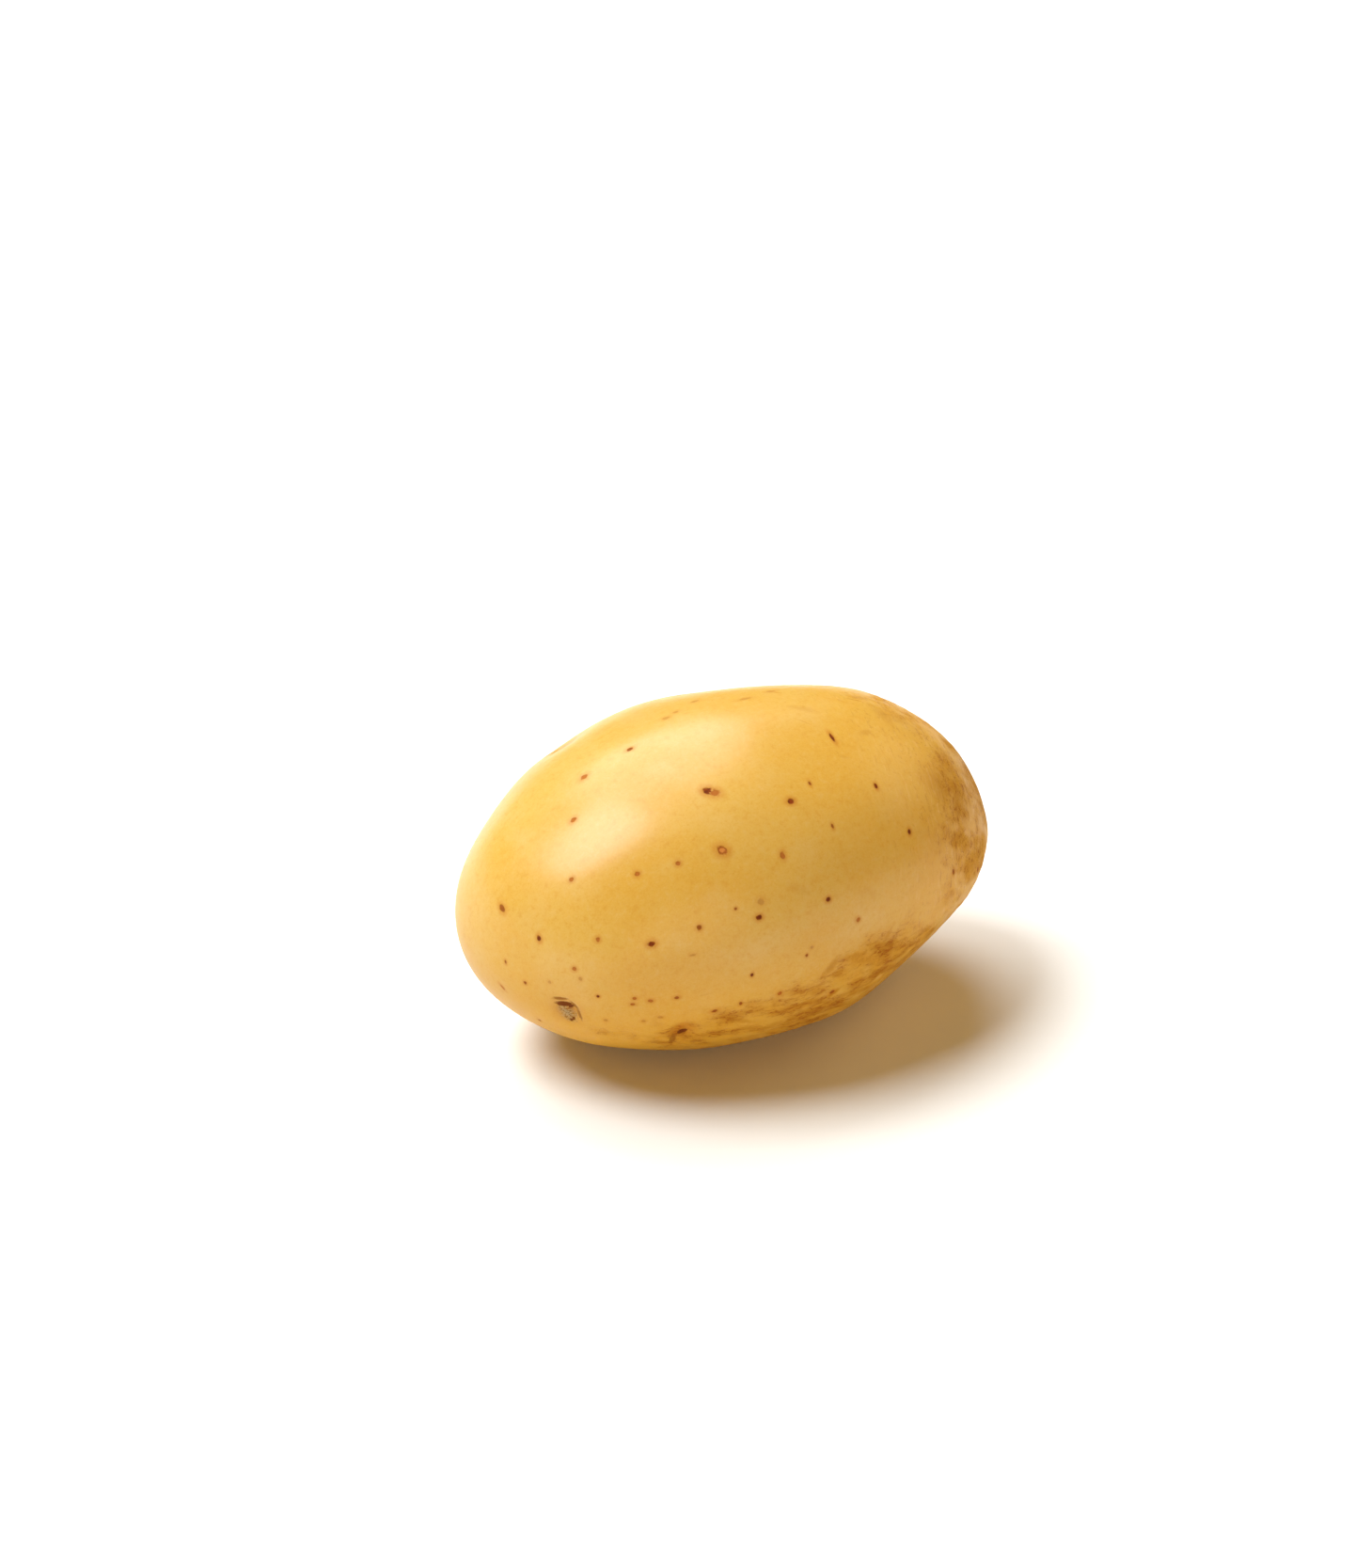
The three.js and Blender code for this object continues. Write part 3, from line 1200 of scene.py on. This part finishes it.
@dataclass
class Potato:
    """The whole tuber's skin, with real relief, and the attributes that its finish reads.

    Args:
        form: The plain tuber.
        grid: The net of quads.
        eyes: Every eye.
        smears: Every scuff, crack and corky lump.
        front_pores: The pores placed one by one on the top and front.
        back_pore_count: How many pores are scattered over the rest.
        finish: The skin's material.
        swell: How far the skin swells and sinks over its whole length.
        russet_relief: How rough the russet is.
        wrinkle_depth: How deep the wrinkles round the rose end are.
        brow_height: How high the strongest brow over an eye stands.
        groove_depth: How deep the groove under it is.
        pore_depth: How deep a pore's pit is, as a share of its half width.
        belly_fade: Over which height the relief grows from none at the belly's flat.
        seed: Fixes the scattered pores.
    """

    form: TuberForm = field(default_factory=TuberForm)
    grid: SkinGrid = field(default_factory=SkinGrid)
    eyes: tuple[Eye, ...] = EYES
    smears: tuple[Smear, ...] = SMEARS
    front_pores: tuple[Pore, ...] = FRONT_PORES
    back_pore_count: int = 90
    finish: PotatoSkin = field(default_factory=PotatoSkin)
    swell: float = 0.16 * MM
    russet_relief: float = 0.048 * MM
    wrinkle_depth: float = 0.03 * MM
    brow_height: float = 0.3 * MM
    groove_depth: float = 0.25 * MM
    pore_depth: float = 0.09
    belly_fade: tuple[float, float] = (0.05 * MM, 1.2 * MM)
    seed: int = 11

    def build(self) -> bpy.types.Object:
        """Makes the skin and dresses it.

        Returns:
            The object, at the origin.
        """
        net = self._net()
        russet = self._russet(net)
        marks = {
            "eye": self.eyes,
            "pore": self.front_pores + self._scattered_pores(),
            "smear": self.smears,
        }
        frames = {name: self._frames(net, group) for name, group in marks.items()}
        raised = self._skin_relief(net, russet)
        raised += self._eye_relief(net.points, frames["eye"])
        raised += self._pore_relief(net.points, marks["pore"], frames["pore"])
        raised *= smooth_step(net.points[:, 2], *self.belly_fade)
        skin_points = net.points + net.normals * raised[:, None]
        skin_points[:, 2] = np.maximum(skin_points[:, 2], 0.0)

        mesh = bpy.data.meshes.new("potato_skin")
        mesh.from_pydata(skin_points.tolist(), [], net.quads.tolist())
        mesh.polygons.foreach_set("use_smooth", np.ones(len(net.quads), bool))
        self._store(mesh, "russet", "POINT", russet)
        self._store(mesh, "grain", "POINT", net.grain)
        for name, group in marks.items():
            place, look = self._nearest_marks(net, group, frames[name])
            self._store(mesh, name, "CORNER", place)
            self._store(mesh, name + "_look", "CORNER", look)
        mesh.materials.append(self.finish.make())
        mesh.update()
        skin = bpy.data.objects.new("potato_skin", mesh)
        bpy.context.scene.collection.objects.link(skin)
        return skin

    def _net(self) -> Net:
        """Lays the net over the plain tuber.

        The grain's first number runs from the stem end to the rose end, as half the length times
        the angle from the stem end. The others are the direction's sideways and upward shares of
        the mean radius.

        Returns:
            The net.
        """
        directions, quads = self.grid.build()
        points = self.form.surface(directions)
        radius = (self.form.width + self.form.height) / 4.0
        run = self.form.length / 2.0 * np.arccos(np.clip(-directions[:, 0], -1.0, 1.0))
        grain = np.column_stack([run, directions[:, 1] * radius, directions[:, 2] * radius])
        return Net(directions, quads, points, corner_normals(points, quads), grain)

    def _scattered_pores(self) -> tuple[Pore, ...]:
        """Pores over the back and the underside, kept apart by taking the loneliest of some tries.

        Returns:
            The pores that don't fall where the listed ones are.
        """
        draw = np.random.default_rng(self.seed)
        towards_front = np.array([-0.36, -0.77, 0.53])  # where the listed pores are
        looks = (BROWN, RUSTY, DARK, FAINT, RUSTY, FAINT, RINGED)
        chosen = [directions_of(np.array([[p.along, p.around]]))[0] for p in self.front_pores]
        made = []
        while len(made) < self.back_pore_count:
            tries = draw.normal(size=(10, 3))
            tries /= np.linalg.norm(tries, axis=1)[:, None]
            nearest = (tries @ np.array(chosen).T).max(axis=1)
            nearest[tries @ towards_front > -0.05] = TAKEN
            best = tries[nearest.argmin()]
            if nearest.min() == TAKEN:
                continue
            chosen.append(best)
            around = float(around_of(best[None])[0])
            length = 0.55 + 1.0 * draw.random() ** 2
            width = length * (0.6 + 0.35 * draw.random())
            look = looks[int(draw.integers(len(looks)))]
            turn = 60 + 60 * draw.random()
            made.append(Pore(float(best[0]), around, length, width, turn, look))
        return tuple(made)

    def _russet(self, net: Net) -> np.ndarray:
        """How rough and tan the skin is: the rose end and the patches, broken up by ripples.

        Args:
            net: The net on the plain tuber.

        Returns:
            A share from 0 to 1 for each point.
        """
        mask = 0.5 * smooth_step(net.directions[:, 0], 0.35, 0.9)
        for patch in RUSSET_PATCHES:
            mask = np.maximum(mask, patch.mask(net.directions))
        broad = Ripples(16 * MM, 5 * MM, (1.5, 0.9, 0.9), seed=3).heights(net.grain)
        patchy = Ripples(5 * MM, 1.8 * MM, (1.5, 0.9, 0.9), seed=4).heights(net.grain)
        return np.clip(mask * (1.0 + 0.3 * broad + 0.22 * patchy) - 0.1, 0.0, 1.0)

    def _skin_relief(self, net: Net, russet: np.ndarray) -> np.ndarray:
        """Broad swells everywhere, lumps in the russet, and wrinkles that run round the rose end.

        Args:
            net: The net on the plain tuber.
            russet: How rough each point is.

        Returns:
            How far each point is raised.
        """
        swells = Ripples(34 * MM, 14 * MM, (1.3, 1.0, 1.0), seed=1).heights(net.points)
        lumps = Ripples(3.5 * MM, 1.4 * MM, (1.0, 1.0, 1.0), seed=2).heights(net.grain)
        wrinkles = Ripples(3.2 * MM, 1.5 * MM, (1.0, 4.0, 4.0), seed=5).heights(net.grain)
        return (
            self.swell * swells
            + self.russet_relief * russet * lumps
            + self.wrinkle_depth * russet * np.minimum(wrinkles, 0.6)
        )

    @staticmethod
    def _frames(net: Net, marks: Sequence[Mark]) -> np.ndarray:
        """Where each mark is and which way it lies.

        Args:
            net: The net on the plain tuber.
            marks: Eyes, pores or smears.

        Returns:
            For each mark four rows: its middle, its way lengthwise, its way crosswise, and out.
        """
        wanted = directions_of(np.array([[m.along, m.around] for m in marks]))
        nearest = (wanted @ net.directions.T).argmax(axis=1)
        out = net.normals[nearest]
        around = np.cross(np.array([1.0, 0.0, 0.0]), out)
        around /= np.linalg.norm(around, axis=1)[:, None]
        along = np.cross(out, around)
        turn = np.radians([m.turn for m in marks])[:, None]
        lengthwise = along * np.cos(turn) + around * np.sin(turn)
        crosswise = around * np.cos(turn) - along * np.sin(turn)
        return np.stack([net.points[nearest], lengthwise, crosswise, out], axis=1)

    def _eye_relief(self, points: np.ndarray, frames: np.ndarray) -> np.ndarray:
        """A bell-shaped hollow, a crescent brow at its edge, a groove under it, and a bud.

        Args:
            points: The plain tuber's points.
            frames: The eyes' frames.

        Returns:
            How far each point is raised.
        """
        raised = np.zeros(len(points))
        for eye, (middle, to_brow, _, _) in zip(self.eyes, frames):
            shape = eye.kind.value
            from_middle = (points - middle) / eye.half_width()
            away = np.linalg.norm(from_middle, axis=1)
            under_brow = np.clip(from_middle @ to_brow / np.maximum(away, 0.05), 0.0, 1.0)
            brow = self.brow_height * bell(away, *BROW_RING)
            groove = self.groove_depth * bell(away, *GROOVE_RING)
            raised += shape.brow * under_brow * (brow - groove)
            raised += shape.bud_height * bell(away, *BUD_BUMP)
            raised -= eye.depth_mm * MM * np.exp(-2.0 * away**2)
        return raised

    def _pore_relief(
        self, points: np.ndarray, pores: Sequence[Pore], frames: np.ndarray
    ) -> np.ndarray:
        """A small pit with a raised rim at each pore.

        Args:
            points: The plain tuber's points.
            pores: The pores.
            frames: Their frames.

        Returns:
            How far each point is raised.
        """
        raised = np.zeros(len(points))
        for one, (middle, _, _, _) in zip(pores, frames):
            radius = math.sqrt(one.half_length() * one.half_width())
            away = np.linalg.norm(points - middle, axis=1) / radius
            close = away < PORE_REACH
            depth = self.pore_depth * one.half_width() * one.kind.value.strength
            rim = 0.5 * bell(away[close], *PORE_RIM)
            raised[close] += depth * (rim - bell(away[close], *PORE_PIT))
        return raised

    @staticmethod
    def _nearest_marks(
        net: Net, marks: Sequence[Eye | Pore | Smear], frames: np.ndarray
    ) -> tuple[np.ndarray, np.ndarray]:
        """Each quad corner's place in its nearest mark, in half sizes, and that mark's look.

        Args:
            net: The net on the plain tuber.
            marks: The eyes, the pores or the smears.
            frames: Their frames.

        Returns:
            The places, far off where no mark is near, and the looks as three numbers.
        """
        corners = net.points[net.quads]
        middle = corners.mean(axis=1)
        best = np.full(len(corners), np.inf)
        place = np.zeros_like(corners)
        place[..., 0] = FAR_OFF
        look = np.zeros_like(corners)
        for one, (centre, lengthwise, crosswise, _) in zip(marks, frames):
            axes = np.column_stack(
                [lengthwise / one.half_length(), crosswise / one.half_width(), np.zeros(3)]
            )
            distance = np.linalg.norm((middle - centre) @ axes, axis=1)
            close = np.linalg.norm(middle - centre, axis=1) < MARK_REACH * one.half_length()
            mine = close & (distance < best)
            best[mine] = distance[mine]
            place[mine] = (corners[mine] - centre) @ axes
            look[mine] = one.look()
        return place, look

    @staticmethod
    def _store(mesh: bpy.types.Mesh, name: str, domain: str, values: np.ndarray) -> None:
        """Puts an attribute on the mesh.

        Args:
            mesh: The mesh.
            name: The attribute's name.
            domain: Whether it is for points or for corners.
            values: Numbers, or rows of three for vectors.
        """
        kind, key = ("FLOAT", "value") if values.ndim == 1 else ("FLOAT_VECTOR", "vector")
        attribute = mesh.attributes.new(name, kind, domain)
        attribute.data.foreach_set(key, values.astype(np.float32).ravel())


# --------------------------------------------------------------------------- the studio


@dataclass(frozen=True)
class SoftLight:
    """A round soft light that faces the tuber.

    Args:
        name: What it is called.
        turn: Degrees round from +X to it.
        tilt: Degrees that it stands above level.
        size: How wide it is.
        power: Its power, in watts.
        colour: Its colour.
        distance: How far away it is.
    """

    name: str
    turn: float
    tilt: float
    size: float
    power: float
    colour: Colour = (0.93, 0.98, 1.0)
    distance: float = 3.0

    def build(self) -> None:
        """Hangs the light."""
        towards = Vector(facing(self.turn, self.tilt))
        lamp = bpy.data.lights.new(self.name, "AREA")
        lamp.shape = "DISK"
        lamp.size = self.size
        lamp.energy = self.power
        lamp.color = self.colour
        light = bpy.data.objects.new(self.name, lamp)
        light.location = towards * self.distance
        light.rotation_mode = "QUATERNION"
        light.rotation_quaternion = towards.to_track_quat("Z", "Y")
        bpy.context.scene.collection.objects.link(light)


@dataclass
class Studio:
    """The floor, the lights and the camera.

    Args:
        floor_size: The floor's side.
        floor_finish: The floor's material.
        lights: The soft lights.
        air_colour: The colour of the light from all round.
        air_strength: How bright it is.
        aim: The point that the camera looks at.
        camera_turn: Degrees that the camera is turned round the tuber; 0 looks along +Y.
        camera_tilt: Degrees that it looks down.
        camera_distance: How far it is from the aim.
        lens: Its focal length, in millimetres on a 36 mm frame.
    """

    floor_size: float = 2.8
    floor_finish: StudioFloor = field(default_factory=StudioFloor)
    lights: tuple[SoftLight, ...] = (
        SoftLight("main_light", 153, 58, 1.8, 105),
        SoftLight("back_light", 84, 51, 2.4, 78),
        SoftLight("side_light", 5, 27, 1.8, 19, (1.0, 0.76, 0.38)),
        SoftLight("front_light", -108, 9, 2.4, 40, (1.0, 0.86, 0.56)),
    )
    air_colour: Colour = (1.0, 0.54, 0.13)
    air_strength: float = 0.18
    aim: Triple = (-8.5 * MM, 0.0, 43.6 * MM)
    camera_turn: float = -28.6
    camera_tilt: float = 27.0
    camera_distance: float = 641.6 * MM
    lens: float = 90.0

    def build(self) -> None:
        """Makes all of it."""
        self._floor()
        for light in self.lights:
            light.build()
        self._air()
        self._camera()
        bpy.context.scene.view_settings.view_transform = "Standard"
        bpy.context.scene.view_settings.look = "None"

    def _floor(self) -> None:
        """A flat square under the tuber."""
        half = self.floor_size / 2.0
        corners = [(-half, -half, 0.0), (half, -half, 0.0), (half, half, 0.0), (-half, half, 0.0)]
        mesh = bpy.data.meshes.new("studio_floor")
        mesh.from_pydata(corners, [], [(0, 1, 2, 3)])
        mesh.materials.append(self.floor_finish.make())
        floor = bpy.data.objects.new("studio_floor", mesh)
        bpy.context.scene.collection.objects.link(floor)

    def _air(self) -> None:
        """Warm light from all round, which the camera sees as plain white."""
        world = bpy.data.worlds.new("studio_air")
        world.use_nodes = True
        n = Nodes(world.node_tree)
        warm = n.add(
            "ShaderNodeBackground",
            {},
            {"Color": (*self.air_colour, 1.0), "Strength": self.air_strength},
        )
        white = n.add("ShaderNodeBackground", {}, {"Color": (1.0, 1.0, 1.0, 1.0), "Strength": 1.0})
        seen = n.add("ShaderNodeLightPath", {}, {}, "Is Camera Ray")
        both = n.add("ShaderNodeMixShader", {}, {0: seen, 1: warm, 2: white})
        n.end("ShaderNodeOutputWorld", both)
        bpy.context.scene.world = world

    def _camera(self) -> None:
        """A long lens at the aim, with no shift and everything sharp."""
        back = Vector(facing(self.camera_turn - 90.0, self.camera_tilt))
        data = bpy.data.cameras.new("camera")
        data.lens = self.lens
        data.sensor_width = 36.0
        data.clip_start = 0.01
        data.clip_end = 50.0
        camera = bpy.data.objects.new("camera", data)
        camera.location = Vector(self.aim) + back * self.camera_distance
        camera.rotation_mode = "QUATERNION"
        camera.rotation_quaternion = (-back).to_track_quat("-Z", "Y")
        bpy.context.scene.collection.objects.link(camera)
        bpy.context.scene.camera = camera


def main() -> None:
    """Builds the studio and the potato, and says what each piece stands for."""
    logging.basicConfig(level=logging.INFO)
    Studio().build()
    log.info("studio: floor, light and camera")
    skin = Potato().build()
    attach(skin, ROOT)
    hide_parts(CAD_NODE)
    log.info("%s: %d quads", skin.name, len(skin.data.polygons))


if __name__ == "__main__":
    main()
